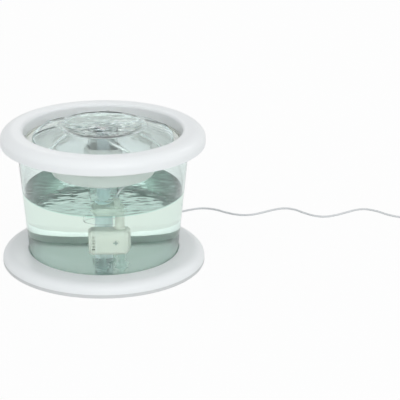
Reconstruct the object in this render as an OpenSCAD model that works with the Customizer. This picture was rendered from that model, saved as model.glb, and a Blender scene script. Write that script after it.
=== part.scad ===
// Round pet water fountain: a clear tank on a white base ring, a white collar
// ring, a clear dome with a dished top, and a submersible pump with its lead.
// Millimetres. +Z is up, the origin is on the table under the tank's axis,
// and the front of the fountain faces -Y.

/* [Base ring] */
// Outer diameter of the base ring
base_d = 230; // [222:1:250]
// Height of the base ring where it meets the tank
base_h = 15.5; // [14:0.5:20]
// Height of the straight outer edge
base_edge_h = 4.5; // [3:0.5:6]
// Width of the rounded shoulder
base_shoulder_w = 14; // [8:1:18]
// Wall of the base moulding
base_wall = 2.4; // [1.8:0.2:3.2]
// Height at which the ledge carries the tank
ledge_z = 6; // [5.5:0.5:8]
// Width of the ledge under the tank
ledge_w = 13; // [12:1:18]
// Number of stiffening ribs under the base ring
base_ribs = 12; // [6:2:18]
// Number of rubber feet
foot_count = 6; // [4:1:8]
// Diameter of a rubber foot
foot_d = 11; // [8:1:11]
// How far the feet stand out below the ring's edge
foot_proud = 0.5; // [0.3:0.1:1]

/* [Tank] */
// Outer diameter of the tank at its underside
tank_foot_d = 169.4; // [160:0.2:172]
// Outer diameter of the tank at its rim
tank_rim_d = 193; // [190:0.5:196]
// Height of the tank from its underside to its rim
tank_h = 135; // [130:1:160]
// Wall of the tank
tank_wall = 2.3; // [1.8:0.1:3]
// Thickness of the tank floor
tank_floor = 3; // [2:0.5:4]
// Radius of the tank's bottom corner
tank_corner = 5; // [4:0.5:8]
// Width of the lip round the rim
lip_w = 3.5; // [2:0.5:5]
// Thickness of the lip
lip_t = 2; // [1.5:0.5:3]
// Height of the socket ring that locates the standpipe
socket_h = 4; // [3:0.5:6]
// Direction of the lead's notch in the rim, in degrees
notch_angle = 60; // [58:1:62]
// Width of the lead's notch
notch_w = 5; // [4:0.5:8]
// Depth of the lead's notch below the rim
notch_depth = 7; // [6.5:0.5:10]

/* [Collar ring] */
// How far the collar ring stands out past the tank's lip
collar_overhang = 14.2; // [12:0.2:20]
// Height of the collar ring from its edge to its crest
collar_h = 16.5; // [14:0.5:20]
// Height of its straight outer edge
collar_edge_h = 6; // [3:0.5:8]
// Width of its rounded outer shoulder
collar_shoulder_w = 14.2; // [8:0.2:16]
// Wall of the collar moulding
collar_wall = 2.2; // [1.8:0.2:2.8]
// Gap between the collar ring's well and the tank's wall
collar_well_gap = 3.5; // [2.5:0.5:6]
// Radius of the crest's inner edge
collar_inner_round = 4; // [3.2:0.2:5]
// How far the outer edge hangs below the tank's rim
collar_drop = 1; // [0.5:0.5:3]
// Number of ribs that rest on the tank's rim
collar_ribs = 12; // [6:2:18]
// Thickness of a stiffening rib
rib_t = 1.8; // [1.2:0.2:2.4]
// Width of the ledge that carries the filter tray
tray_ledge_w = 4.5; // [3:0.5:6]
// Depth of the tray's seat below the tank's rim
tray_seat_drop = 4; // [3:0.5:6]

/* [Filter tray] */
// Thickness of the tray's flange
flange_t = 2; // [1.5:0.5:3]
// Height of the tray's outer upstand above its flange
upstand_h = 3.7; // [2:0.1:5]
// Outer diameter of the filter drum
drum_d = 116; // [104:1:122]
// Depth of the drum below the flange's top
drum_h = 33.3; // [28:0.1:40]
// Wall of the drum and the upstand
drum_wall = 1.8; // [1.4:0.2:2.4]
// Width of the ledge in the drum that carries its slotted floor
grille_ledge_w = 3; // [2:0.5:5]
// Thickness of that ledge
grille_ledge_t = 1; // [0.8:0.1:1.6]
// Thickness of the drum's slotted floor
grille_t = 1.4; // [1:0.1:2.4]
// Number of drain slots in the floor
slot_count = 16; // [8:1:20]
// Width of a drain slot
slot_w = 3; // [2:0.5:4]
// Gap between the stem and the tube round it
guide_gap = 2.2; // [1.5:0.1:4]
// Height of that tube above the drum's floor
guide_h = 26; // [20:1:28]
// Thickness of the foam filter pad
foam_t = 8; // [5:0.5:10]
// Thickness of the carbon filter pad
carbon_t = 12; // [8:0.5:14]

/* [Dome] */
// Width of the trough between the dome's skirt and the collar ring's well
trough_w = 10; // [8:0.5:14]
// Height of the dome from its skirt to the rim of its dish
dome_h = 20.6; // [18:0.2:26]
// Wall of the dome
dome_wall = 2; // [1.6:0.2:2.4]
// Diameter of the dish's rim
dish_d = 92; // [84:1:100]
// Depth of the dish
dish_h = 5.6; // [4:0.2:7]
// Outer diameter of the clear stem under the dome
stem_d = 34; // [32:0.5:35]
// Wall of the stem
stem_wall = 1.8; // [1.2:0.2:2.4]
// Gap between the stem's lower end and the pump
stem_gap = 3.1; // [2:0.1:20]

/* [Standpipe] */
// Outer diameter of the standpipe
pipe_d = 15; // [13:0.5:17]
// Wall of the standpipe
pipe_wall = 1.5; // [1.2:0.1:2]
// How far the standpipe enters the dome's socket
pipe_entry = 5; // [3:0.5:6]

/* [Pump] */
// Width of the pump from its intake cover to its end cap
pump_w = 36.4; // [35:0.2:46]
// Depth of the pump from front to back
pump_depth = 27; // [26:0.5:32]
// Height of the pump body
pump_h = 29; // [28:0.5:34]
// Radius of the pump body's long edges
pump_round = 5.5; // [3:0.5:7]
// Slope round the pump's two end faces
pump_end_slope = 2.5; // [1:0.1:2.6]
// Wall of the pump mouldings
pump_wall = 2; // [1.8:0.1:2.4]
// Depth of the intake cover
intake_w = 6.4; // [5.6:0.2:8]
// Least wall of the housing round the impeller chamber
volute_wall = 3; // [2.6:0.1:4]
// Length of the impeller chamber
volute_w = 11; // [10:0.5:12]
// Diameter of the magnet
magnet_d = 10.4; // [9.6:0.2:11]
// Gap between the end of the magnet's well and the end cap
well_end_gap = 1.7; // [1.4:0.1:4]
// Diameter of the ceramic shaft
shaft_d = 2; // [1.6:0.2:2.4]
// Number of impeller blades
blade_count = 6; // [4:1:8]
// Gap between the impeller and the wall of its chamber
impeller_gap = 1.5; // [1:0.1:3]
// Bore of the outlet nozzle
nozzle_bore_d = 6; // [5:0.2:6.4]
// Diameter of the flow dial
dial_d = 6.6; // [6:0.2:9]
// Height of a suction cup
cup_h = 16; // [13:0.5:17]
// Diameter of a suction cup
cup_d = 12; // [10:0.5:12.5]
// Length of the lead's rubber boot on the pump
boot_len = 20; // [16:0.5:20.5]

/* [Lead and adapter] */
// Diameter of the lead
lead_d = 2.4; // [2.2:0.1:2.6]
// Diameter of the coil at the middle of its turns
coil_mid_d = 28.8; // [26:0.2:30]
// Width of the bundle of turns
coil_bundle = 8; // [7:0.5:9]
// Width of the adapter
adapter_w = 32; // [28:1:36]
// Length of the adapter
adapter_len = 44; // [38:1:50]
// Thickness of the adapter
adapter_t = 26; // [24:1:30]
// Length of an adapter pin
pin_len = 19; // [17:0.5:20]
// Diameter of an adapter pin
pin_d = 4; // [3.8:0.1:4.8]
// Distance between the pins
pin_gap = 19; // [17:0.5:20]

/* [Clearances] */
// Gap between a piece that lifts off and its seat
seat_gap = 0.3; // [0.2:0.05:0.5]
// Gap between the tank and its socket in the base ring
tank_gap = 0.4; // [0.3:0.05:0.6]
// Radial gap between a filter pad and the drum
pad_gap = 0.5; // [0.3:0.1:1]
// Radial running gap of the rotor on its shaft
shaft_gap = 0.05; // [0.03:0.01:0.1]
// Radial running gap of the magnet in its well
well_gap = 0.4; // [0.3:0.1:0.6]

/* [Hidden] */

round_fn = 96;
small_fn = 48;
sweep_steps = 9;
cut = 1;

// Base ring and tank
base_r = base_d / 2;
tank_foot_r = tank_foot_d / 2;
tank_rim_r = tank_rim_d / 2;
tank_slope = (tank_rim_r - tank_foot_r) / tank_h;
tank_rim_z = ledge_z + tank_h;
floor_z = ledge_z + tank_floor;
base_bore_r = tank_r(base_h) + tank_gap;
ledge_r = base_bore_r - ledge_w;
foot_ring_r = base_bore_r - ledge_w / 2;
foot_chamfer = 1;
base_crown = 0.7;
notch_reach = 12;

// Collar ring
collar_r = tank_rim_r + lip_w + collar_overhang;
collar_bore_r = tank_rim_r - tank_wall - collar_well_gap - collar_wall;
collar_z = tank_rim_z - collar_drop;
collar_top_z = collar_z + collar_h;
collar_side_z = collar_z + collar_edge_h;
tray_seat_z = tank_rim_z - tray_seat_drop;

// Filter tray
flange_z = tray_seat_z + seat_gap;
flange_top_z = flange_z + flange_t;
tray_r = collar_bore_r - seat_gap;
drum_r = drum_d / 2;
drum_z = flange_top_z - drum_h;
drum_bore_r = drum_r - drum_wall;
drum_chamfer = 1;
grille_z = drum_z + grille_ledge_t;
grille_seat_r = drum_bore_r - grille_ledge_w;
drum_floor_z = grille_z + grille_t;
guide_bore_r = stem_d / 2 + guide_gap;
guide_r = guide_bore_r + drum_wall;
pad_r = drum_bore_r - pad_gap;
pad_bore_r = guide_r + pad_gap;
slot_margin = 4;
slot_rim = 1;
slot_inner_r = guide_r + slot_margin;
slot_outer_r = grille_seat_r - slot_rim;
foam_z = drum_floor_z + seat_gap;
carbon_z = foam_z + foam_t + seat_gap;

// Dome and stem
dome_r = collar_bore_r - trough_w;
dome_z = flange_top_z + seat_gap;
dome_top_z = dome_z + dome_h;
dome_side_h = 5.6;
dome_shoulder_h = 13;
dome_shoulder_w = 10.5;
dome_brow_w = 3;
dish_r = dish_d / 2;
dish_floor_z = dome_top_z - dish_h;
dish_under_z = dish_floor_z - dome_wall;
pipe_r = pipe_d / 2;
socket_r = pipe_r + seat_gap;
spout_wall = 2;
stem_r = stem_d / 2;
stem_bore_r = stem_r - stem_wall;
stem_boss_t = 1.6;
stem_fit = 0.15;
boss_len = 6;
skirt_notches = 8;
skirt_notch_w = 9;
skirt_notch_h = 2.4;

// Standpipe
pipe_top_z = dish_under_z - boss_len + pipe_entry;
pipe_bore_r = pipe_r - pipe_wall;
pipe_foot_t = 2;
tank_socket_t = 1.8;

// Pump: its rotor turns about a line along X
pump_left_x = -13;
pump_right_x = pump_left_x + pump_w;
pump_back_y = -9.5;
pump_y = pump_back_y - pump_depth / 2;
pump_front_y = pump_back_y - pump_depth;
pump_z = floor_z + cup_h;
axis_z = pump_z + pump_h / 2;
pump_top_z = pump_z + pump_h;
stem_z = pump_top_z + stem_gap;
cover_t = 2;
cover_x = pump_left_x + intake_w + seat_gap;
housing_x = cover_x + cover_t;
volute_r = pump_depth / 2 - volute_wall;
volute_end_x = housing_x + volute_w;
bulkhead_t = 2;
magnet_r = magnet_d / 2;
well_r = magnet_r + well_gap;
well_wall = 1.2;
magnet_start = 1.2;
magnet_end_gap = 1;
magnet_x = volute_end_x + magnet_start;
end_cap_t = 3;
end_cap_x = pump_right_x - end_cap_t;
well_end_x = end_cap_x - well_end_gap - well_wall;
magnet_len = well_end_x - magnet_end_gap - magnet_x;
cap_rim_h = 1.2;
shaft_r = shaft_d / 2;
bush_r = 2.6;
bush_len = 2;
end_bush_len = 0.8;
shaft_x0 = cover_x;
shaft_x1 = well_end_x;
impeller_r = volute_r - impeller_gap;
impeller_x = housing_x + 2.5;
blade_w = 6;
blade_t = 1.4;
shroud_t = 1.4;
hub_r = 3.4;
inlet_r = 7.2;
spider_w = 1.6;
spigot_h = 1.2;
spigot_gap = 0.2;
seal_wire_r = 0.7;
seal_offset = 1.6;
seal_gap = 0.1;
seal_ring_r = volute_r + seal_offset;
nozzle_wall = 1.2;
nozzle_r = nozzle_bore_d / 2 + nozzle_wall;
nozzle_end_y = -pipe_bore_r - seat_gap;
branch_gap = 0.15;
branch_wall = 2.4;
core_x = volute_end_x + bulkhead_t + 1;
core_w = 8;
core_half_y = pump_depth / 2 - pump_wall - seat_gap;
coil_t = 2.8;
coil_room = 1;
core_half_z = pump_h / 2 - pump_wall - coil_room - coil_t - seat_gap;
dial_x = 12;
dial_z = axis_z + 1;
dial_r = dial_d / 2;
dial_t = 2;
dial_pin_r = 1.5;
dial_pin_len = 1.4;
dial_bore_gap = 0.06;
dial_bore_depth = dial_pin_len + 0.2;
dial_mark_w = 1;
dial_mark_t = 0.6;
dial_mark_rim = 0.8;
boot_x = 14.8;
boot_r = 4.1;
boot_tip_r = 2.4;
boot_foot_r = 5;
boot_foot_h = 2.5;
boot_taper_h = 3;
cup_inset = 4;
cup_gap = 1.2;
cup_half_y = (cup_d + cup_gap) / 2;
cup_xs = [housing_x + cup_inset, end_cap_x - cup_inset];
cup_ys = [pump_y - cup_half_y, pump_y + cup_half_y];
cup_skirt_h = 4;
cup_hollow_h = 2;
cup_head_h = 3;
grille_slots = 5;
grille_w = 18;
grille_slit = 1.6;
side_slit_x = 2.7;
side_slit_w = 2.9;

// Free lead: a route of round points, from the boot to the coil
lead_r = lead_d / 2;
lead_sides = 8;
lead_route = [
    [14.8, -23, 74], [14.9, -22.9, 80], [16.8, -21.3, 87], [21.8, -16.6, 92],
    [28, -8, 93], [34, 5, 91], [39, 20, 88], [43, 36, 87], [46, 52, 90],
    [47.4, 64, 97], [47.6, 72, 107], [46.4, 76.4, 118], [45.6, 78.6, 127], [46, 79.7, 132.9],
    [46.3, 80.3, 135.4], [47.3, 81.8, 137.2], [48.5, 84, 137.9], [49.7, 86.2, 137.2],
    [50.7, 87.8, 135.4], [51, 88.3, 132.9], [51.7, 89.5, 127],
    [52.4, 90.7, 110], [52.6, 91.2, 80], [53, 91.8, 50], [53.6, 92.8, 30],
    [55, 95.2, 19], [57.8, 100.2, 12.5], [61.5, 106, 7], [66, 112, 3], [72, 119, 1.5], [79, 127, 1.3],
    [86.5, 135.5, 1.3], [95.5, 142.6, 1.3], [104, 147.5, 1.3], [113, 151.3, 1.3], [122, 152, 1.3],
    [134, 148.2, 1.3], [147, 138.3, 1.3], [158, 131.8, 1.3], [168.5, 129.3, 1.3],
    [179, 130.8, 1.3], [191, 137.3, 1.3], [207, 147.3, 1.3], [219, 152, 1.3], [230, 149.6, 1.3],
    [243, 136.8, 1.3], [255, 127, 1.3], [267, 124, 1.3], [279, 128, 1.3], [295, 138, 1.3],
    [309, 147, 1.3], [319, 149.3, 1.3], [332, 143.5, 1.3], [345, 131, 1.3], [355, 124.3, 1.3],
    [364, 121.8, 1.3], [371, 122.6, 1.3], [377, 126, 1.6], [380.5, 130.6, 2], [381.9, 134, 2.2]
];
tail_route = [[417.6, 130.4, 2.4], [416.9, 125.4, 3.2], [414, 119, 4], [414, 113, 4]];
coil_center = [400, 140];
coil_r = coil_mid_d / 2;
tie_w = 4;
tie_t = 0.7;
tie_gap = 0.25;
coil_z = tie_t + tie_gap;
adapter_center = [414, 78];
adapter_boot_len = 13;
adapter_boot_r = 3;
adapter_round = 5;
face_t = 2.5;
pin_z = adapter_t / 2;

// Outer radius of the tank at a height
function tank_r(z) = tank_foot_r + tank_slope * (z - ledge_z);

// Points of an elliptical arc in a profile
function arc(cx, cz, a, b, t0, t1, n) =
    [for (i = [0:n]) let (t = t0 + (t1 - t0) * i / n) [cx + a * cos(t), cz + b * sin(t)]];

// Points of a curve from p to r that is pulled towards q
function bow(p, q, r, n) =
    [for (i = [0:n]) let (t = i / n) (1 - t) * (1 - t) * p + 2 * t * (1 - t) * q + t * t * r];

function unit(v) = v / norm(v);

// Top surface of the base ring, from its outer edge to the tank, sunk by a depth
function base_top(depth) = concat(
    [[base_r - depth, foot_proud]],
    arc(base_r - base_shoulder_w, base_edge_h,
        base_shoulder_w - depth, base_h - base_crown - base_edge_h - depth, 0, 90, sweep_steps),
    [[base_bore_r + depth, base_h - depth]]
);

// Upper surface of the collar ring, from its outer edge over the crest to its well
function collar_skin(depth) = concat(
    [[collar_r - depth, collar_z]],
    arc(collar_r - collar_shoulder_w, collar_side_z,
        collar_shoulder_w - depth, collar_top_z - collar_side_z - depth, 0, 90, sweep_steps),
    arc(collar_bore_r + collar_inner_round, collar_top_z - collar_inner_round,
        collar_inner_round - depth, collar_inner_round - depth, 90, 180, sweep_steps)
);

// Outer surface of the dome from its skirt to the middle of its dish, sunk by a depth
function dome_skin(depth) = concat(
    [[dome_r - depth, dome_z]],
    bow([dome_r - depth, dome_z + dome_side_h], [dome_r - 1 - depth, dome_z + 0.75 * dome_shoulder_h - depth],
        [dome_r - dome_shoulder_w, dome_z + dome_shoulder_h - depth], sweep_steps),
    bow([dome_r - dome_shoulder_w, dome_z + dome_shoulder_h - depth],
        [dish_r + 11, dome_top_z - 3.8 - depth],
        [dish_r + dome_brow_w, dome_top_z - 0.9 - depth], 4),
    bow([dish_r + dome_brow_w, dome_top_z - 0.9 - depth], [dish_r, dome_top_z + 0.9 - depth],
        [dish_r - dome_brow_w, dome_top_z - 1.1 - depth], 6),
    bow([dish_r - dome_brow_w, dome_top_z - 1.1 - depth], [dish_r - 12, dish_floor_z - depth],
        [stem_r + dome_brow_w, dish_floor_z - depth], sweep_steps)
);

// Flat outline with round corners
module round_rect(w, h, r) {
    square([w, h - 2 * r], center = true);
    square([w - 2 * r, h], center = true);
    for (x = [-1, 1], y = [-1, 1])
        translate([x * (w / 2 - r), y * (h / 2 - r)])
            circle(r = r, $fn = small_fn);
}

// Slab across the pump's outline, from x0 to x1, drawn in by a depth
module pump_slab(x0, x1, depth) {
    translate([x0, pump_y, axis_z])
        rotate([90, 0, 90])
            linear_extrude(x1 - x0)
                round_rect(pump_depth - 2 * depth, pump_h - 2 * depth, pump_round - depth / 2);
}

// End piece across the pump's outline, from its joint at x0 to its sloped outer face at x1
module pump_end(x0, x1) {
    side = sign(x1 - x0);
    skin = 0.1;
    hull() {
        pump_slab(min(x0, x1 - side * pump_end_slope), max(x0, x1 - side * pump_end_slope), 0);
        pump_slab(min(x1, x1 - side * skin), max(x1, x1 - side * skin), pump_end_slope);
    }
}

// Round bar along X on the rotor's axis
module axis_bar(x0, x1, r) {
    translate([x0, pump_y, axis_z])
        rotate([0, 90, 0])
            cylinder(h = x1 - x0, r = r, $fn = small_fn);
}

// Round bar along Y from y0 to y1
module rear_bar(x, z, y0, y1, r) {
    translate([x, y1, z])
        rotate([90, 0, 0])
            cylinder(h = y1 - y0, r = r, $fn = small_fn);
}

// Tube along Z
module tube(z0, z1, r_out, r_in, fn = round_fn) {
    difference() {
        translate([0, 0, z0])
            cylinder(h = z1 - z0, r = r_out, $fn = fn);
        translate([0, 0, z0 - cut])
            cylinder(h = z1 - z0 + 2 * cut, r = r_in, $fn = fn);
    }
}

// Radial ribs that fill part of a turned space
module ribs(count, r0, r1, z0, z1, start) {
    for (i = [0:count - 1])
        rotate([0, 0, start + i * 360 / count])
            translate([r0, -rib_t / 2, z0])
                cube([r1 - r0, rib_t, z1 - z0]);
}

module base_ring() {
    color("whitesmoke") {
        rotate_extrude($fn = round_fn)
            polygon(concat(
                base_top(0),
                [[base_bore_r, ledge_z], [ledge_r, ledge_z], [ledge_r, ledge_z - base_wall],
                 [base_bore_r + base_wall, ledge_z - base_wall]],
                [for (i = [sweep_steps + 2:-1:0]) base_top(base_wall)[i]]
            ));
        intersection() {
            rotate_extrude($fn = round_fn)
                polygon(concat(
                    base_top(base_wall / 2),
                    [[base_bore_r + base_wall / 2, ledge_z - base_wall],
                     [base_r - base_wall / 2, ledge_z - base_wall]]
                ));
            ribs(base_ribs, base_bore_r + base_wall / 2, base_r - base_wall / 2,
                 ledge_z - base_wall, base_h, 360 / base_ribs / 2);
        }
    }
}

module base_feet() {
    color("dimgray")
        for (i = [0:foot_count - 1])
            rotate([0, 0, i * 360 / foot_count])
                translate([foot_ring_r, 0, 0]) {
                    cylinder(h = ledge_z - base_wall, d = foot_d - 2 * foot_chamfer, $fn = small_fn);
                    translate([0, 0, foot_chamfer])
                        cylinder(h = ledge_z - base_wall - foot_chamfer, d = foot_d, $fn = small_fn);
                }
}

module tank() {
    color("lightseagreen", 0.4)
        difference() {
            union() {
                rotate_extrude($fn = round_fn)
                    polygon(concat(
                        [[0, ledge_z]],
                        arc(tank_foot_r - tank_corner, ledge_z + tank_corner,
                            tank_corner, tank_corner, -90, 0, 5),
                        [[tank_r(tank_rim_z - lip_t - lip_w), tank_rim_z - lip_t - lip_w],
                         [tank_rim_r + lip_w, tank_rim_z - lip_t],
                         [tank_rim_r + lip_w, tank_rim_z],
                         [tank_rim_r - tank_wall, tank_rim_z]],
                        arc(tank_foot_r - tank_wall - tank_corner, floor_z + tank_corner,
                            tank_corner, tank_corner, 0, -90, 5),
                        [[0, floor_z]]
                    ));
                tube(floor_z - cut / 2, floor_z + socket_h,
                     socket_r + tank_socket_t, socket_r, small_fn);
            }
            rotate([0, 0, notch_angle])
                translate([tank_rim_r - 3 * tank_wall, 0, tank_rim_z - notch_depth + notch_w / 2]) {
                    rotate([0, 90, 0])
                        cylinder(h = notch_reach + lip_w, d = notch_w, $fn = small_fn);
                    translate([0, -notch_w / 2, 0])
                        cube([notch_reach + lip_w, notch_w, notch_depth]);
                }
        }
}

module standpipe() {
    color("lightsteelblue", 0.8)
        difference() {
            union() {
                translate([0, 0, floor_z])
                    cylinder(h = pipe_top_z - floor_z, r = pipe_r, $fn = small_fn);
                rear_bar(0, axis_z, pump_back_y + seat_gap, 0, nozzle_r + branch_gap + branch_wall);
            }
            translate([0, 0, floor_z + pipe_foot_t])
                cylinder(h = pipe_top_z - floor_z, r = pipe_bore_r, $fn = small_fn);
            rear_bar(0, axis_z, pump_back_y - cut, 0, nozzle_r + branch_gap);
        }
}

module pump_housing() {
    color("antiquewhite")
        difference() {
            union() {
                difference() {
                    pump_slab(housing_x, end_cap_x, 0);
                    pump_slab(volute_end_x + bulkhead_t, end_cap_x + cut, pump_wall);
                }
                axis_bar(volute_end_x, well_end_x + well_wall, well_r + well_wall);
                rear_bar(0, axis_z, pump_back_y - cut, nozzle_end_y, nozzle_r);
            }
            axis_bar(housing_x - cut, volute_end_x, volute_r);
            axis_bar(volute_end_x - cut, well_end_x, well_r);
            rear_bar(0, axis_z, pump_y, 0, nozzle_bore_d / 2);
            rear_bar(dial_x, dial_z, pump_front_y - cut, pump_front_y + dial_bore_depth,
                     dial_pin_r + dial_bore_gap);
            translate([housing_x + seal_wire_r, pump_y, axis_z])
                rotate([0, -90, 0])
                    tube(0, seal_wire_r + cut, seal_ring_r + seal_wire_r + seal_gap,
                         seal_ring_r - seal_wire_r - seal_gap, small_fn);
        }
}

module end_cap() {
    color("antiquewhite")
        difference() {
            union() {
                pump_end(end_cap_x, pump_right_x);
                pump_slab(end_cap_x - cap_rim_h, end_cap_x + cut / 2, pump_wall + seat_gap);
            }
            pump_slab(end_cap_x - cap_rim_h - cut, end_cap_x, 2 * pump_wall);
        }
}

module stator_core() {
    color("dimgray")
        difference() {
            translate([core_x, pump_y - core_half_y, axis_z - core_half_z])
                cube([core_w, 2 * core_half_y, 2 * core_half_z]);
            axis_bar(core_x - cut, core_x + core_w + cut, well_r + well_wall + seat_gap);
        }
}

module stator_coils() {
    color("sienna")
        for (side = [-1, 1])
            translate([core_x + core_w / 2, pump_y,
                       axis_z + side * (core_half_z + seat_gap + coil_t / 2)])
                rotate([90, 0, 90])
                    linear_extrude(core_w, center = true)
                        round_rect(2 * core_half_y - 5, coil_t, coil_t / 2 - 0.3);
}

module volute_cover() {
    color("antiquewhite")
        difference() {
            union() {
                difference() {
                    union() {
                        pump_slab(cover_x, housing_x, 0);
                        axis_bar(housing_x - cut / 2, housing_x + spigot_h, volute_r - spigot_gap);
                    }
                    axis_bar(cover_x - cut, housing_x + spigot_h + cut, inlet_r);
                }
                for (turn = [0:60:120])
                    translate([cover_x, pump_y, axis_z])
                        rotate([turn, 0, 0])
                            translate([0, -inlet_r - 1, -spider_w / 2])
                                cube([cover_t, 2 * inlet_r + 2, spider_w]);
                axis_bar(cover_x, housing_x + spigot_h / 2, hub_r + spigot_h / 2);
            }
            axis_bar(cover_x - cut, housing_x + cut, bush_r);
        }
}

module volute_seal() {
    color("black")
        translate([housing_x, pump_y, axis_z])
            rotate([0, 90, 0])
                rotate_extrude($fn = small_fn)
                    translate([seal_ring_r, 0])
                        intersection() {
                            circle(r = seal_wire_r, $fn = 24);
                            translate([-seal_wire_r, 0])
                                square([2 * seal_wire_r, seal_wire_r - seal_gap / 2]);
                        }
}

module intake_cover() {
    slot_pitch = (pump_h - 2 * pump_round) / grille_slots;
    color("antiquewhite")
        difference() {
            pump_end(cover_x - seat_gap, pump_left_x);
            pump_slab(pump_left_x + pump_wall, cover_x + cut, pump_wall);
            for (i = [0:grille_slots - 1])
                translate([0, 0, pump_z + pump_round + (i + 0.5) * slot_pitch - grille_slit / 2]) {
                    translate([pump_left_x - cut, pump_y - grille_w / 2, 0])
                        cube([pump_wall + 2 * cut, grille_w, grille_slit]);
                    translate([pump_left_x + side_slit_x, pump_front_y - cut, 0])
                        cube([side_slit_w, pump_wall + 2 * cut, grille_slit]);
                }
        }
}

module impeller() {
    color("skyblue")
        difference() {
            union() {
                axis_bar(impeller_x + blade_w, impeller_x + blade_w + shroud_t, impeller_r);
                axis_bar(impeller_x, magnet_x, hub_r);
                for (i = [0:blade_count - 1])
                    translate([impeller_x, pump_y, axis_z])
                        rotate([i * 360 / blade_count, 0, 0])
                            translate([0, -blade_t / 2, hub_r - blade_t / 2])
                                cube([blade_w + shroud_t / 2, blade_t, impeller_r - hub_r]);
            }
            axis_bar(impeller_x - cut, magnet_x + cut, shaft_r + shaft_gap);
        }
}

module rotor_magnet() {
    color("darkslategray")
        difference() {
            axis_bar(magnet_x, magnet_x + magnet_len, magnet_r);
            axis_bar(magnet_x - cut, magnet_x + magnet_len + cut, shaft_r + shaft_gap);
        }
}

module rotor_shaft() {
    color("white")
        axis_bar(shaft_x0, shaft_x1, shaft_r);
}

module shaft_bushes() {
    color("black")
        difference() {
            axis_bar(cover_x, cover_x + bush_len, bush_r);
            axis_bar(cover_x - cut, cover_x + bush_len + cut, shaft_r);
        }
    color("black")
        difference() {
            axis_bar(well_end_x - end_bush_len, well_end_x, bush_r);
            axis_bar(well_end_x - end_bush_len - cut, well_end_x + cut, shaft_r);
        }
}

module flow_dial() {
    color("gray")
        union() {
            difference() {
                rear_bar(dial_x, dial_z, pump_front_y - seat_gap - dial_t, pump_front_y - seat_gap, dial_r);
                translate([dial_x - dial_mark_w / 2, pump_front_y - seat_gap - dial_t - cut, dial_z])
                    cube([dial_mark_w, cut + dial_mark_t, dial_r - dial_mark_rim]);
            }
            rear_bar(dial_x, dial_z, pump_front_y - seat_gap - cut, pump_front_y + dial_pin_len, dial_pin_r);
        }
}

module suction_cups() {
    color("slategray", 0.8)
        for (x = cup_xs, y = cup_ys)
            translate([x, y, floor_z])
                difference() {
                    union() {
                        cylinder(h = cup_skirt_h, r1 = cup_d / 2, r2 = cup_d / 4, $fn = small_fn);
                        cylinder(h = cup_h, r = cup_d / 5, $fn = small_fn);
                        translate([0, 0, cup_h - cup_head_h])
                            cylinder(h = cup_head_h, r = cup_d / 3, $fn = small_fn);
                    }
                    translate([0, 0, -cut])
                        cylinder(h = cup_hollow_h + cut, r1 = cup_d / 2.4, r2 = cup_d / 8, $fn = small_fn);
                }
}

module lead_boot() {
    color("antiquewhite")
        translate([boot_x, pump_y, pump_top_z]) {
            cylinder(h = boot_foot_h, r = boot_foot_r, $fn = small_fn);
            cylinder(h = boot_len - boot_taper_h, r = boot_r, $fn = small_fn);
            translate([0, 0, boot_len - boot_taper_h])
                cylinder(h = boot_taper_h, r1 = boot_r, r2 = boot_tip_r, $fn = small_fn);
        }
}

module collar_ring() {
    count = 2 * sweep_steps + 2;
    color("whitesmoke") {
        rotate_extrude($fn = round_fn)
            polygon(concat(
                collar_skin(0),
                [[collar_bore_r, tray_seat_z], [collar_bore_r - tray_ledge_w, tray_seat_z],
                 [collar_bore_r - tray_ledge_w, tray_seat_z - collar_wall],
                 [collar_bore_r + collar_wall, tray_seat_z - collar_wall]],
                [for (i = [count:-1:0]) collar_skin(collar_wall)[i]]
            ));
        intersection() {
            rotate_extrude($fn = round_fn)
                polygon(concat(
                    collar_skin(collar_wall / 2),
                    [[collar_bore_r + collar_wall / 2, tank_rim_z + seat_gap],
                     [collar_r - collar_wall / 2, tank_rim_z + seat_gap]]
                ));
            ribs(collar_ribs, collar_bore_r + collar_wall / 2, collar_r - collar_wall / 2,
                 tank_rim_z + seat_gap, collar_top_z, 360 / collar_ribs / 2);
        }
    }
}

// Flange, upstand and drum wall, with the ledge that carries the drum's floor
module filter_tray() {
    color("powderblue", 0.4)
        rotate_extrude($fn = round_fn)
            polygon([
                [tray_r, flange_z], [tray_r, flange_top_z + upstand_h],
                [tray_r - drum_wall, flange_top_z + upstand_h],
                [tray_r - drum_wall, flange_top_z], [drum_bore_r, flange_top_z],
                [drum_bore_r, grille_z], [grille_seat_r, grille_z], [grille_seat_r, drum_z],
                [drum_r - drum_chamfer, drum_z], [drum_r, drum_z + drum_chamfer],
                [drum_r, flange_z]
            ]);
}

// Slotted floor of the drum, in one piece with the tube round the stem
module drum_grille() {
    color("powderblue", 0.4)
        difference() {
            rotate_extrude($fn = round_fn)
                polygon([
                    [guide_bore_r, grille_z], [drum_bore_r - seat_gap, grille_z],
                    [drum_bore_r - seat_gap, drum_floor_z], [guide_r, drum_floor_z],
                    [guide_r, drum_floor_z + guide_h - drum_wall],
                    [guide_r - drum_wall / 2, drum_floor_z + guide_h],
                    [guide_bore_r, drum_floor_z + guide_h]
                ]);
            for (i = [0:slot_count - 1])
                rotate([0, 0, i * 360 / slot_count])
                    translate([slot_inner_r, -slot_w / 2, grille_z - cut])
                        cube([slot_outer_r - slot_inner_r, slot_w, grille_t + 2 * cut]);
        }
}

module foam_pad() {
    color("lightcyan")
        tube(foam_z, foam_z + foam_t, pad_r, pad_bore_r);
}

module carbon_pad() {
    color("gainsboro")
        tube(carbon_z, carbon_z + carbon_t, pad_r, pad_bore_r);
}

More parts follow.
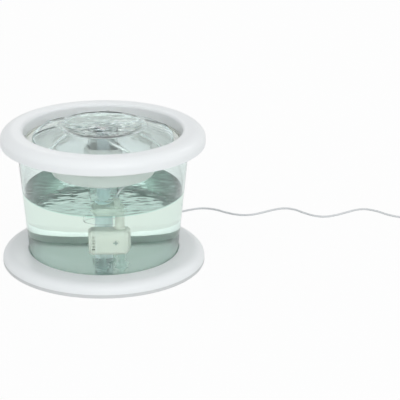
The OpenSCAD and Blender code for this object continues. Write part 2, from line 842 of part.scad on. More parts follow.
module dome() {
    skin_count = len(dome_skin(0)) - 1;
    color("aquamarine", 0.4)
        difference() {
            union() {
                rotate_extrude($fn = round_fn)
                    polygon(concat(
                        dome_skin(0),
                        [[socket_r, dish_floor_z], [socket_r, dish_under_z - boss_len],
                         [socket_r + spout_wall, dish_under_z - boss_len],
                         [socket_r + spout_wall, dish_under_z]],
                        [for (i = [skin_count:-1:0]) dome_skin(dome_wall)[i]]
                    ));
                tube(dish_under_z - boss_len, dish_under_z + dome_wall / 2,
                     stem_bore_r - stem_fit, stem_bore_r - stem_fit - stem_boss_t);
            }
            for (i = [0:skirt_notches - 1])
                rotate([0, 0, (i + 0.5) * 360 / skirt_notches])
                    translate([dome_r - 3 * dome_wall, -skirt_notch_w / 2, dome_z - cut])
                        cube([5 * dome_wall, skirt_notch_w, skirt_notch_h + cut]);
        }
}

module stem() {
    color("paleturquoise", 0.4)
        tube(stem_z, dish_under_z, stem_r, stem_bore_r);
}

// One ring of the lead's tube round point i of its route
function lead_ring(p, i) =
    let (last = len(p) - 1,
         along = unit(p[min(i + 1, last)] - p[max(i - 1, 0)]),
         side = unit(cross(along, [0.31, -0.17, 0.94])),
         up = cross(side, along))
    [for (k = [0:lead_sides - 1])
        let (t = 360 * k / lead_sides) p[i] + lead_r * (side * cos(t) + up * sin(t))];

module lead_tube(route) {
    rings = len(route);
    points = [for (i = [0:rings - 1]) each lead_ring(route, i)];
    sides = [for (i = [0:rings - 2], k = [0:lead_sides - 1])
        let (n = (k + 1) % lead_sides)
        [i * lead_sides + k, i * lead_sides + n, (i + 1) * lead_sides + n, (i + 1) * lead_sides + k]];
    first_cap = [for (k = [lead_sides - 1:-1:0]) k];
    last_cap = [for (k = [0:lead_sides - 1]) (rings - 1) * lead_sides + k];
    color("whitesmoke")
        polyhedron(points, concat(sides, [first_cap, last_cap]));
}

module power_cord() {
    lead_tube(lead_route);
}

// The stretch from the coil to the adapter's boot
module cord_tail() {
    lead_tube(tail_route);
}

module cord_coil() {
    color("whitesmoke")
        translate([coil_center[0], coil_center[1], coil_z + coil_bundle / 2])
            rotate_extrude($fn = round_fn)
                translate([coil_r, 0])
                    round_rect(coil_bundle, coil_bundle, coil_bundle / 3);
}

// Flat tie round the coil's bundle, on its far side
module cord_tie() {
    inner = coil_bundle + 2 * tie_gap;
    outer = inner + 2 * tie_t;
    color("dimgray")
        translate([coil_center[0] + coil_r, coil_center[1], coil_z + coil_bundle / 2])
            rotate([90, 0, 0])
                linear_extrude(tie_w, center = true)
                    difference() {
                        round_rect(outer, outer, coil_bundle / 3 + tie_t);
                        round_rect(inner, inner, coil_bundle / 3);
                    }
}

// The adapter lies on its back, its boot towards the coil and its pins away from it
module adapter_body() {
    color("whitesmoke")
        translate([adapter_center[0], adapter_center[1] + adapter_len / 2, adapter_t / 2])
            rotate([90, 0, 0])
                linear_extrude(adapter_len - face_t)
                    round_rect(adapter_w, adapter_t, adapter_round);
}

module adapter_face() {
    color("whitesmoke")
        translate([adapter_center[0], adapter_center[1] - adapter_len / 2 + face_t, adapter_t / 2])
            rotate([90, 0, 0])
                linear_extrude(face_t)
                    round_rect(adapter_w - 2, adapter_t - 2, adapter_round - 1);
}

module adapter_pins() {
    color("silver")
        for (side = [-1, 1])
            rear_bar(adapter_center[0] + side * pin_gap / 2, pin_z,
                     adapter_center[1] - adapter_len / 2 - pin_len,
                     adapter_center[1] - adapter_len / 2, pin_d / 2);
}

module adapter_boot() {
    y0 = adapter_center[1] + adapter_len / 2;
    color("whitesmoke")
        translate([adapter_center[0], y0, adapter_boot_r + 1])
            rotate([-90, 0, 0]) {
                cylinder(h = adapter_boot_len, r1 = adapter_boot_r, r2 = lead_r + 0.6, $fn = small_fn);
            }
}

base_ring();
base_feet();
tank();
standpipe();
pump_housing();
end_cap();
stator_core();
stator_coils();
volute_cover();
volute_seal();
intake_cover();
impeller();
rotor_magnet();
rotor_shaft();
shaft_bushes();
flow_dial();
suction_cups();
lead_boot();
collar_ring();
filter_tray();
drum_grille();
foam_pad();
carbon_pad();
dome();
stem();
power_cord();
cord_coil();
cord_tail();
cord_tie();
adapter_body();
adapter_face();
adapter_pins();
adapter_boot();
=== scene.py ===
import bpy
import math
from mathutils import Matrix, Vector, noise


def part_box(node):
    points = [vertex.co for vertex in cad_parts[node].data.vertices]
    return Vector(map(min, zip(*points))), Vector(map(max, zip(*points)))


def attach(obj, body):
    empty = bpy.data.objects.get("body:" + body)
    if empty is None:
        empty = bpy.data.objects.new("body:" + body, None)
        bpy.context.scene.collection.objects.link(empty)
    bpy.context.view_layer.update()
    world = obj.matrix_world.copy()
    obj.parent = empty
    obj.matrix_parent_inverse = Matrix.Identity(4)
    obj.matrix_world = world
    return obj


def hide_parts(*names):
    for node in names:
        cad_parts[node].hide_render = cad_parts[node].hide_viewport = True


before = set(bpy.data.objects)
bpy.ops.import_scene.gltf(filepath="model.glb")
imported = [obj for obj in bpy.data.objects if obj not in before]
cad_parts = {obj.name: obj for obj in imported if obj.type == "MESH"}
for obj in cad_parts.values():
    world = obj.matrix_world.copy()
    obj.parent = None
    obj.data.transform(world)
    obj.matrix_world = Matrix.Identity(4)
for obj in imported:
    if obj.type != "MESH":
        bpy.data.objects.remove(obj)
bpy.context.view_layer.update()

scene = bpy.context.scene
scene.view_settings.view_transform = "Standard"
# Light has to pass many clear walls here, one behind the other
scene.cycles.max_bounces = 28
scene.cycles.transmission_bounces = 26
scene.cycles.transparent_max_bounces = 16

mm = 0.001
full = 2 * math.pi


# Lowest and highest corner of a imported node, in millimetres
def nodeSize(node):
    low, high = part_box(node)
    return [v / mm for v in low], [v / mm for v in high]


camera = {
    "place": (41.2, -1600, 680),
    "pitch": 69.14,     # degrees up from straight down
    "lens": 136.35,
    "shift": 0.15,
}


def makeCamera():
    bpy.ops.object.camera_add(
        location=[v * mm for v in camera["place"]],
        rotation=(math.radians(camera["pitch"]), 0, 0))
    eye = bpy.context.object
    eye.name = "viewCamera"
    eye.data.lens = camera["lens"]
    eye.data.shift_x = camera["shift"]
    scene.camera = eye


makeCamera()
print("camera is in place")


# Holds a socket, so that sums on it add their nodes; node() adds any other kind
class Wire:
    def __init__(self, tree, socket=None):
        self.tree = tree
        self.socket = socket

    def node(self, kind, settings=None, sockets=None, out=0):
        made = self.tree.nodes.new(kind)
        for key, value in (settings or {}).items():
            if key == "stops":
                ramp = made.color_ramp
                while len(ramp.elements) < len(value):
                    ramp.elements.new(0.5)
                for element, (place, colour) in zip(ramp.elements, value):
                    element.position = place
                    element.color = (*colour, 1)
            else:
                setattr(made, key, value)
        for key, value in (sockets or {}).items():
            if isinstance(value, Wire):
                self.tree.links.new(value.socket, made.inputs[key])
            else:
                made.inputs[key].default_value = value
        return Wire(self.tree, made.outputs[out] if len(made.outputs) else None)

    def sum(self, operation, first, second):
        return self.node("ShaderNodeMath", {"operation": operation}, {0: first, 1: second})

    def __add__(self, other):
        return self.sum("ADD", self, other)

    def __radd__(self, other):
        return self.sum("ADD", other, self)

    def __sub__(self, other):
        return self.sum("SUBTRACT", self, other)

    def __rsub__(self, other):
        return self.sum("SUBTRACT", other, self)

    def __mul__(self, other):
        return self.sum("MULTIPLY", self, other)

    def __rmul__(self, other):
        return self.sum("MULTIPLY", other, self)


# An empty material: its first wire, and the object's own coordinates
def startFinish(name):
    finish = bpy.data.materials.new(name)
    finish.use_nodes = True
    finish.node_tree.nodes.clear()
    start = Wire(finish.node_tree)
    return finish, start, start.node("ShaderNodeTexCoord", out="Object")


def grain(place, scale, detail=2.0):
    return place.node("ShaderNodeTexNoise", None,
                      {"Vector": place, "Scale": scale, "Detail": detail})


def blend(amount, first, second):
    return amount.node("ShaderNodeMix", {"data_type": "RGBA"},
                       {0: amount, 6: (*first, 1), 7: (*second, 1)}, out=2)


def bump(height, strength, distance):
    return height.node("ShaderNodeBump", None,
                       {"Height": height, "Strength": strength, "Distance": distance * mm})


def closeFinish(finish, start, sockets, volume=None):
    surface = start.node("ShaderNodeBsdfPrincipled", None, sockets)
    ends = {"Surface": surface}
    if volume:
        ends["Volume"] = volume
    start.node("ShaderNodeOutputMaterial", None, ends)
    return finish


whitePlastic = {
    "pale": (0.92, 0.94, 0.94),
    "dull": (0.89, 0.915, 0.918),
    "cloud": 14,                # scale of the drift between the two
    "roughness": 0.26,
    "wear": (90, 0.12),         # scale and depth of its uneven sheen
    "skin": (1600, 0.12, 0.3),  # scale, strength and depth of its grain
}


def makeWhitePlastic():
    finish, start, place = startFinish("whitePlastic")
    look = whitePlastic
    wear, wearDepth = look["wear"]
    skin, strength, depth = look["skin"]
    return closeFinish(finish, start, {
        "Base Color": blend(grain(place, look["cloud"]), look["dull"], look["pale"]),
        "Roughness": look["roughness"] + grain(place, wear) * wearDepth,
        "Normal": bump(grain(place, skin), strength, depth),
        "IOR": 1.5,
    })


clearPlastic = 1.49     # how much each bends light
plainWater = 1.333
clearBump = {"detail": 1.0, "strength": 0.1, "depth": 0.8}
clearTank = {"ior": clearPlastic, "tint": (0.12, 0.56, 0.46), "density": 48.0, "roughness": 0.0,
             "waves": 22, "bandFrom": 0, "bandTo": 6.6, "bandRoughness": 0.2, "bandShadeSkin": (1, 1, 1)}
clearDome = {"ior": clearPlastic, "tint": (0.05, 0.52, 0.48), "density": 52.0, "roughness": 0.1,
             "waves": 30}
dryStem = {"ior": clearPlastic, "skin": (0.95, 0.985, 0.98), "roughness": 0.12, "waves": 30}
wetStem = {"ior": clearPlastic / plainWater, "skin": (0.95, 0.985, 0.98), "roughness": 0.0,
           "waves": 30}
# The water's band at its surface has a darker teal skin colour: painted shade on the surface
clearWater = {"ior": plainWater, "tint": (0.3, 0.62, 0.2), "density": 1.0, "roughness": 0.0,
              "waves": 90, "bandFrom": 84.5, "bandTo": 90, "bandRoughness": 0.07,
              "bandShadeSkin": (0.68, 0.87, 0.84)}


# Clear stuff keeps its tint in its volume, so that thick places are deeper, or in its skin;
# a band between two heights has a skin and a roughness of its own; on the water that skin is painted
# shade
def makeClear(name, look):
    finish, start, place = startFinish(name)
    tint = None
    if "tint" in look:
        tint = start.node("ShaderNodeVolumeAbsorption", None,
                          {"Color": (*look["tint"], 1), "Density": look["density"]})
    colour = (*look.get("skin", (1, 1, 1)), 1)
    roughness = look["roughness"]
    if "bandFrom" in look:
        height = start.node("ShaderNodeSeparateXYZ", None, {0: place}, out="Z")
        above = start.sum("GREATER_THAN", height, look["bandFrom"] * mm)
        below = start.sum("LESS_THAN", height, look["bandTo"] * mm)
        # the band's skin colour, which on the water is painted shade
        colour = blend(above * below, (1, 1, 1), look["bandShadeSkin"])
        roughness = above * below * look["bandRoughness"]
    return closeFinish(finish, start, {
        "Base Color": colour,
        "Roughness": roughness,
        "IOR": look["ior"],
        "Transmission Weight": 1.0,
        "Normal": bump(grain(place, look["waves"], clearBump["detail"]),
                       clearBump["strength"], clearBump["depth"]),
    }, tint)


frostedTray = {
    "pale": (0.84, 0.86, 0.82),
    "dull": (0.81, 0.835, 0.79),
    "cloud": 30,
    "roughness": 0.4,
    "wear": (140, 0.15),
    "skin": (1100, 0.1, 0.3),
    "clear": 0.3,
    "ior": 1.45,
}


# Frosted plastic passes some light and scatters the rest
def makeFrosted(name, look):
    finish, start, place = startFinish(name)
    wear, wearDepth = look["wear"]
    skin, strength, depth = look["skin"]
    return closeFinish(finish, start, {
        "Base Color": blend(grain(place, look["cloud"]), look["dull"], look["pale"]),
        "Roughness": look["roughness"] + grain(place, wear) * wearDepth,
        "Normal": bump(grain(place, skin), strength, depth),
        "Transmission Weight": look["clear"],
        "IOR": look["ior"],
    })


moulded = {"cloud": 60, "cloudDetail": 3.0, "wear": 160, "wearDepth": 0.14, "skinDepth": 0.4}


# Moulded stuff has a little cloud in its colour and a fine skin
def makeMoulded(name, pale, dull, roughness, skin=0.1, skinScale=900, **fixed):
    finish, start, place = startFinish(name)
    cloud = grain(place, moulded["cloud"], moulded["cloudDetail"])
    sockets = {
        "Base Color": blend(cloud, dull, pale),
        "Roughness": roughness + grain(place, moulded["wear"]) * moulded["wearDepth"],
        "Normal": bump(grain(place, skinScale), skin, moulded["skinDepth"]),
    }
    sockets.update({key.replace("_", " "): value for key, value in fixed.items()})
    return closeFinish(finish, start, sockets)


porous = {"cells": 0.7, "fibres": 0.5, "fibreScale": 1.7, "fibreDetail": 4.0, "roughness": 0.95,
          "shine": 0.2, "strength": 0.7}


# Foam and fleece have pores from cells and fibres from noise
def makePorous(name, pale, dark, scale, depth):
    finish, start, place = startFinish(name)
    cells = place.node("ShaderNodeTexVoronoi", None, {"Vector": place, "Scale": scale})
    fibres = grain(place, scale * porous["fibreScale"], porous["fibreDetail"])
    pores = cells * porous["cells"] + fibres * porous["fibres"]
    return closeFinish(finish, start, {
        "Base Color": blend(pores, dark, pale),
        "Roughness": porous["roughness"],
        "Specular IOR Level": porous["shine"],
        "Normal": bump(pores, porous["strength"], depth),
    })


fineRows = {"unevenness": 0.8, "detail": 2.0, "roughness": 0.25, "wear": 400, "wearDepth": 0.25,
            "strength": 0.4}


# Fine rows: turns of enamelled wire, stacked laminations or brushed pins
def makeRows(name, pale, dark, scale, direction, metal, depth):
    finish, start, place = startFinish(name)
    rows = place.node("ShaderNodeTexWave", {"wave_type": "BANDS", "bands_direction": direction},
                      {"Vector": place, "Scale": scale, "Distortion": fineRows["unevenness"],
                       "Detail": fineRows["detail"]})
    return closeFinish(finish, start, {
        "Base Color": blend(rows, dark, pale),
        "Metallic": metal,
        "Roughness": fineRows["roughness"] + grain(place, fineRows["wear"]) * fineRows["wearDepth"],
        "Normal": bump(rows, fineRows["strength"], depth),
    })


finishes = {
    "white": makeWhitePlastic(),
    # A grey copy of the white plastic for the base ring's lower edge: painted shade
    "edge": makeMoulded("paintedShadeEdge", (0.7, 0.715, 0.71), (0.66, 0.675, 0.67), 0.4),
    "tank": makeClear("clearTank", clearTank),
    "dome": makeClear("clearDome", clearDome),
    "dryStem": makeClear("dryStem", dryStem),
    "wetStem": makeClear("wetStem", wetStem),
    "water": makeClear("water", clearWater),
    "frosted": makeFrosted("frostedTray", frostedTray),
    "blue": makeMoulded("bluePlastic", (0.84, 0.92, 0.96), (0.8, 0.89, 0.94), 0.22),
    "pipe": makeMoulded("pipePlastic", (0.9, 0.97, 1.0), (0.87, 0.95, 0.98), 0.3),
    "cream": makeMoulded("creamPlastic", (0.84, 0.84, 0.77), (0.81, 0.81, 0.74), 0.36),
    "grey": makeMoulded("greyPlastic", (0.4, 0.46, 0.44), (0.33, 0.39, 0.37), 0.4),
    "rubber": makeMoulded("darkRubber", (0.1, 0.105, 0.105), (0.07, 0.075, 0.075), 0.6, 0.3, 1500),
    "paleRubber": makeMoulded("paleRubber", (0.95, 0.99, 0.985), (0.92, 0.97, 0.96), 0.5, 0.1, 1200,
                              Transmission_Weight=1.0, IOR=1.03),
    "lead": makeMoulded("leadJacket", (0.74, 0.755, 0.76), (0.66, 0.68, 0.69), 0.4, 0.15, 1500),
    "magnet": makeMoulded("sinteredMagnet", (0.05, 0.05, 0.055), (0.03, 0.03, 0.032), 0.45, 0.4,
                          2200),
    "ceramic": makeMoulded("ceramic", (0.9, 0.89, 0.86), (0.86, 0.85, 0.82), 0.08),
    "foam": makePorous("filterFoam", (0.8, 0.84, 0.83), (0.66, 0.71, 0.69), 700, 0.8),
    "fleece": makePorous("filterFleece", (0.8, 0.83, 0.81), (0.68, 0.71, 0.69), 420, 1.0),
    "wire": makeRows("copperWire", (0.72, 0.32, 0.14), (0.32, 0.1, 0.04), 900, "X", 0.9, 0.3),
    "core": makeRows("coreSteel", (0.5, 0.51, 0.52), (0.2, 0.205, 0.21), 1500, "X", 1.0, 0.2),
    "pins": makeRows("pinMetal", (0.8, 0.79, 0.76), (0.62, 0.61, 0.59), 300, "Y", 1.0, 0.1),
}
print("finishes mixed:", len(finishes))


def clearSelection():
    if bpy.context.object and bpy.context.object.mode != "OBJECT":
        bpy.ops.object.mode_set(mode="OBJECT")
    bpy.ops.object.select_all(action="DESELECT")


def choose(*pieces):
    clearSelection()
    for piece in pieces:
        piece.select_set(True)
    bpy.context.view_layer.objects.active = pieces[0]


def dress(piece, finish):
    piece.data.materials.clear()
    piece.data.materials.append(finishes[finish])


# Gives a piece two finishes, the second one where picks says so of a face's middle
def dressTwice(piece, first, second, picks):
    dress(piece, first)
    piece.data.materials.append(finishes[second])
    for face in piece.data.polygons:
        face.material_index = 1 if picks(*(face.center / mm)) else 0


# Puts a piece's place in its mesh, gives it its name, finish and body, and hides the nodes it
# replaces; slot is not used
def finishPiece(piece, name, finish, body, slot, *nodes):
    choose(piece)
    bpy.ops.object.transform_apply(location=True, rotation=True, scale=True)
    piece.name = name
    piece.data.name = name
    if finish:
        dress(piece, finish)
    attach(piece, body)
    if nodes:
        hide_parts(*nodes)
    return piece


# Points of an elliptical arc in a section
def arc(cx, cz, a, b, start, stop, count):
    turns = [math.radians(start + (stop - start) * i / count) for i in range(count + 1)]
    return [(cx + a * math.cos(t), cz + b * math.sin(t)) for t in turns]


# Points of a curve from p to r that is pulled towards q
def bow(p, q, r, count):
    points = []
    for i in range(count + 1):
        t = i / count
        points.append(tuple((1 - t) ** 2 * p[k] + 2 * t * (1 - t) * q[k] + t * t * r[k]
                            for k in (0, 1)))
    return points


meshing = {"together": 0.002, "smoothUnder": 32, "softenOver": 40}


# Merges doubles, turns the faces outwards and smooths them
def tidyMesh(piece, angle=meshing["smoothUnder"]):
    choose(piece)
    bpy.ops.object.mode_set(mode="EDIT")
    bpy.ops.mesh.select_all(action="SELECT")
    bpy.ops.mesh.remove_doubles(threshold=meshing["together"] * mm)
    bpy.ops.mesh.normals_make_consistent(inside=False)
    bpy.ops.object.mode_set(mode="OBJECT")
    bpy.ops.object.shade_smooth_by_angle(angle=math.radians(angle))


# Draws an outline in radius and height as a chain of edges, and leaves it in edit mode
def drawOutline(outline, x=0.0, y=0.0):
    r, z = outline[0]
    clearSelection()
    bpy.ops.mesh.primitive_plane_add(size=mm, location=(0, 0, 0))
    piece = bpy.context.object
    bpy.ops.object.mode_set(mode="EDIT")
    bpy.ops.mesh.merge(type="CENTER")
    bpy.ops.transform.translate(value=((x + r) * mm, y * mm, z * mm))
    for (r0, z0), (r1, z1) in zip(outline, outline[1:]):
        bpy.ops.mesh.extrude_vertices_move(
            TRANSFORM_OT_translate={"value": ((r1 - r0) * mm, 0, (z1 - z0) * mm)})
    bpy.ops.mesh.select_all(action="SELECT")
    return piece


# Spins a section round an upright axis
def turned(section, steps=192, x=0.0, y=0.0, angle=meshing["smoothUnder"]):
    piece = drawOutline(section, x, y)
    bpy.ops.mesh.spin(steps=steps, angle=full, axis=(0, 0, 1), center=(x * mm, y * mm, 0))
    bpy.ops.object.mode_set(mode="OBJECT")
    tidyMesh(piece, angle)
    return piece


# A flat plate of an outline in radius and height, across the X axis
def plate(outline, thick):
    piece = drawOutline(outline, 0, -thick / 2)
    bpy.ops.mesh.edge_face_add()
    bpy.ops.mesh.extrude_region_move(TRANSFORM_OT_translate={"value": (0, thick * mm, 0)})
    bpy.ops.mesh.select_all(action="SELECT")
    bpy.ops.mesh.normals_make_consistent(inside=False)
    bpy.ops.object.mode_set(mode="OBJECT")
    return piece


# A block from corner to corner, with all its edges rounded
def block(low, high, rounding=0.0, steps=4):
    clearSelection()
    middle = [(a + b) / 2 * mm for a, b in zip(low, high)]
    bpy.ops.mesh.primitive_cube_add(size=1, location=middle)
    piece = bpy.context.object
    piece.scale = [(b - a) * mm for a, b in zip(low, high)]
    bpy.ops.object.transform_apply(location=True, rotation=True, scale=True)
    if rounding:
        bpy.ops.object.mode_set(mode="EDIT")
        bpy.ops.mesh.select_all(action="SELECT")
        bpy.ops.mesh.bevel(offset=rounding * mm, segments=steps)
        bpy.ops.object.mode_set(mode="OBJECT")
    return piece


def joined(*pieces):
    choose(*pieces)
    bpy.ops.object.join()
    return bpy.context.object


# Copies of a piece, each with its own mesh, turned about the Z axis and joined
def ringOf(piece, count, start):
    copies = []
    for i in range(count):
        copy = piece.copy()
        copy.data = piece.data.copy()
        scene.collection.objects.link(copy)
        copy.rotation_euler = (0, 0, math.radians(start + i * 360 / count))
        copies.append(copy)
    bpy.data.objects.remove(piece)
    choose(*copies)
    bpy.ops.object.transform_apply(location=True, rotation=True, scale=True)
    bpy.ops.object.join()
    return bpy.context.object


# Combines a piece with another one, which is used up
def combine(piece, other, operation="DIFFERENCE"):
    choose(piece)
    modifier = piece.modifiers.new("combine", "BOOLEAN")
    modifier.operation = operation
    modifier.solver = "EXACT"
    modifier.object = other
    bpy.ops.object.modifier_apply(modifier="combine")
    bpy.data.objects.remove(other)


def softenEdges(piece, width):
    choose(piece)
    modifier = piece.modifiers.new("soften", "BEVEL")
    modifier.limit_method = "ANGLE"
    modifier.angle_limit = math.radians(meshing["softenOver"])
    modifier.width = width * mm
    modifier.segments = 2
    bpy.ops.object.modifier_apply(modifier="soften")
    bpy.ops.object.shade_smooth_by_angle(angle=math.radians(meshing["smoothUnder"]))


lead = {
    "diameter": 2.4,
    "route": [
        (14.8, -23, 74), (14.9, -22.9, 80), (16.8, -21.3, 87), (21.8, -16.6, 92),
        (28, -8, 93), (34, 5, 91), (39, 20, 88), (43, 36, 87), (46, 52, 90),
        (47.4, 64, 97), (47.6, 72, 107), (46.4, 76.4, 118), (45.6, 78.6, 127), (46, 79.7, 132.9),
        (46.3, 80.3, 135.4), (47.3, 81.8, 137.2), (48.5, 84, 137.9), (49.7, 86.2, 137.2),
        (50.7, 87.8, 135.4), (51, 88.3, 132.9), (51.7, 89.5, 127),
        (52.4, 90.7, 110), (52.6, 91.2, 80), (53, 91.8, 50), (53.6, 92.8, 30),
        (55, 95.2, 19), (57.8, 100.2, 12.5), (61.5, 106, 7), (66, 112, 3), (72, 119, 1.5),
        (79, 127, 1.3),
        (86.5, 135.5, 1.3), (95.5, 142.6, 1.3), (104, 147.5, 1.3), (113, 151.3, 1.3), (122, 152, 1.3),
        (134, 148.2, 1.3), (147, 138.3, 1.3), (158, 131.8, 1.3), (168.5, 129.3, 1.3),
        (179, 130.8, 1.3), (191, 137.3, 1.3), (207, 147.3, 1.3), (219, 152, 1.3), (230, 149.6, 1.3),
        (243, 136.8, 1.3), (255, 127, 1.3), (267, 124, 1.3), (279, 128, 1.3), (295, 138, 1.3),
        (309, 147, 1.3), (319, 149.3, 1.3), (332, 143.5, 1.3), (345, 131, 1.3), (355, 124.3, 1.3),
        (364, 121.8, 1.3), (371, 122.6, 1.3), (377, 126, 1.6), (380.5, 130.6, 2), (381.9, 134, 2.2),
    ],
    "tail": [(417.6, 130.4, 2.4), (416.9, 125.4, 3.2), (414, 119, 4), (414, 113, 4)],
    "coilCentre": (400, 140),
    "coilRadius": 14.4,
    "coilFoot": 2.2,
    "pitch": 2.5,
    "columns": [1, 0, -1, -1, 0, -1, 0, 1, 1],   # each turn's place in the bundle, outwards
    "rows": [0, 0, 0, 1, 1, 2, 2, 2, 1],         # and upwards
    "stepsPerTurn": 16,
    "moveOver": 0.75,    # where in its turn the lead starts to change places
    "length": 1.48,      # in metres
}


# The turns run clockwise from the coil's left; each moves over in its last quarter
def coilPoints():
    cx, cy = lead["coilCentre"]
    steps = lead["stepsPerTurn"]
    last = len(lead["columns"]) - 1
    points = []
    for i in range(1, int((last + 0.5) * steps)):
        now = min(i // steps, last)
        after = min(now + 1, last)
        slide = max(0.0, (i / steps - now - lead["moveOver"]) / (1 - lead["moveOver"]))
        slide = slide * slide * (3 - 2 * slide)
        column = lead["columns"][now] * (1 - slide) + lead["columns"][after] * slide
        row = lead["rows"][now] * (1 - slide) + lead["rows"][after] * slide
        radius = lead["coilRadius"] + column * lead["pitch"]
        turn = math.pi - i / steps * full
        points.append((cx + radius * math.cos(turn), cy + radius * math.sin(turn),
                       lead["coilFoot"] + row * lead["pitch"]))
    return points


def makeLead():
    points = lead["route"] + coilPoints() + lead["tail"]
    line = bpy.data.curves.new("lead", "CURVE")
    line.dimensions = "3D"
    line.bevel_depth = lead["diameter"] / 2 * mm
    line.bevel_resolution = 3
    line.resolution_u = 5
    line.use_fill_caps = True
    spline = line.splines.new("BEZIER")
    spline.bezier_points.add(len(points) - 1)
    for knot, point in zip(spline.bezier_points, points):
        knot.co = [v * mm for v in point]
        knot.handle_left_type = "AUTO"
        knot.handle_right_type = "AUTO"
    piece = bpy.data.objects.new("lead", line)
    scene.collection.objects.link(piece)
    dress(piece, "lead")
    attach(piece, "root")
    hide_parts("power_cord", "cord_coil", "cord_tail")
    bpy.context.view_layer.update()
    print("lead drawn:", round(spline.calc_length(), 3), "m")
    return piece


adapter = {
    "finishes": {"adapter_body": "white", "adapter_face": "grey", "adapter_pins": "pins",
                 "adapter_boot": "lead", "cord_tie": "rubber"},
}


def dressAdapter():
    for node, finish in adapter["finishes"].items():
        dress(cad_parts[node], finish)


leadPiece = makeLead()
dressAdapter()

tankLow, tankHigh = nodeSize("tank")
baseLow, baseHigh = nodeSize("base_ring")
collarLow, collarHigh = nodeSize("collar_ring")
trayLow, trayHigh = nodeSize("filter_tray")
grilleLow, grilleHigh = nodeSize("drum_grille")
domeLow, domeHigh = nodeSize("dome")
stemLow, stemHigh = nodeSize("stem")
foamLow, foamHigh = nodeSize("foam_pad")
carbonLow, carbonHigh = nodeSize("carbon_pad")

tank = {
    "foot": 84.7,        # outer radius at its underside
    "lip": 3.5,
    "lipThick": 2,
    "wall": 2.3,
    "floor": 3,
    "corner": 5,
    "lift": 0.15,        # air under the floor, which makes it a mirror
    "socket": (7.8, 9.6, 4),    # bore, outside and height of the standpipe's seat
    "notchAngle": 60,    # where the lead leaves over the rim
    "notchWide": 5,
    "notchDeep": 7,
    "soften": 0.3,
}
tank["rim"] = tankHigh[0] - tank["lip"]
tank["slope"] = (tank["rim"] - tank["foot"]) / (tankHigh[2] - tankLow[2])
tank["floorTop"] = tankLow[2] + tank["floor"]


def tankRadius(z):
    return tank["foot"] + tank["slope"] * (z - tankLow[2])


def makeTank():
    low = tankLow[2] + tank["lift"]
    rim = tankHigh[2]
    top = tank["floorTop"]
    corner = tank["corner"]
    lipUnder = rim - tank["lipThick"]
    bore, outside, high = tank["socket"]
    inner = tank["foot"] - tank["wall"] - corner
    section = [(0, low)]
    section += arc(tank["foot"] - corner, low + corner, corner, corner, -90, 0, 8)
    section += [(tankRadius(lipUnder - tank["lip"]), lipUnder - tank["lip"])]
    section += [(tankHigh[0], lipUnder), (tankHigh[0], rim), (tank["rim"] - tank["wall"], rim)]
    section += arc(inner, top + corner, corner, corner, 0, -90, 8)
    section += [(outside, top), (outside, top + high), (bore, top + high), (bore, top), (0, top)]
    piece = turned(section)
    wide = tank["notchWide"] / 2
    deep = rim - tank["notchDeep"]
    notch = plate([(-wide, rim + wide)] + arc(0, deep + wide, wide, wide, 180, 360, 10)
                  + [(wide, rim + wide)], tankHigh[0] - tank["rim"] + 4 * tank["wall"])
    notch.rotation_euler = (0, 0, math.radians(tank["notchAngle"] - 90))
    away = (tankHigh[0] + tank["rim"]) / 2 * mm
    turn = math.radians(tank["notchAngle"])
    notch.location = (away * math.cos(turn), away * math.sin(turn), 0)
    combine(piece, notch)
    softenEdges(piece, tank["soften"])
    return finishPiece(piece, "tank", "tank", "root", "clear_tank", "tank")


base = {"shoulder": 14, "edge": 4.5, "edgeDeep": 0.6, "crown": 0.7, "wall": 2.4, "ledge": 13,
        "ledgeZ": 6, "bore": 85.93, "ribs": 12, "ribThick": 1.8, "soften": 0.35}


# The ring's outer skin from its foot to its bore, sunk by a depth
def baseSkin(depth):
    radius = baseHigh[0]
    top = baseHigh[2]
    shoulder = base["shoulder"]
    points = [(radius - depth, baseLow[2])]
    points += arc(radius - shoulder, base["edge"], shoulder - depth,
                  top - base["crown"] - base["edge"] - depth, 0, 90, 14)
    return points + [(base["bore"] + depth, top - depth)]


def makeBaseRing():
    wall = base["wall"]
    ledgeZ = base["ledgeZ"]
    bore = base["bore"]
    section = baseSkin(0) + [(bore, ledgeZ), (bore - base["ledge"], ledgeZ)]
    section += [(bore - base["ledge"], ledgeZ - wall), (bore + wall, ledgeZ - wall)]
    section += baseSkin(wall)[::-1]
    piece = turned(section + section[:1])
    softenEdges(piece, base["soften"])
    middle = wall / 2
    rib = plate(baseSkin(middle) + [(bore + middle, ledgeZ - wall),
                                    (baseHigh[0] - middle, ledgeZ - wall)], base["ribThick"])
    ribs = ringOf(rib, base["ribs"], 180 / base["ribs"])
    piece = joined(piece, ribs)
    rim = baseHigh[0] - base["edgeDeep"]
    # The ring's lower outer edge gets the grey finish: painted shade where the edge lies in shadow
    dressTwice(piece, "white", "edge",
               lambda x, y, z: z < base["edge"] and math.hypot(x, y) > rim)
    return finishPiece(piece, "baseRing", None, "root", "white_plastic", "base_ring")


collar = {"shoulder": 14.2, "edgeZ": 140, "edge": 6, "bore": 88.5, "round": 4, "wall": 2.2,
          "ledge": 4.5, "seatZ": 137, "ribs": 12, "ribThick": 1.8, "ribZ": 141.3, "soften": 0.35}


# The collar's outer skin from its lower edge to its well, sunk by a depth
def collarSkin(depth):
    radius = collarHigh[0]
    top = collarHigh[2]
    side = collar["edgeZ"] + collar["edge"]
    shoulder = collar["shoulder"]
    rounding = collar["round"]
    points = [(radius - depth, collar["edgeZ"])]
    points += arc(radius - shoulder, side, shoulder - depth, top - side - depth, 0, 90, 18)
    return points + arc(collar["bore"] + rounding, top - rounding,
                        rounding - depth, rounding - depth, 90, 180, 12)


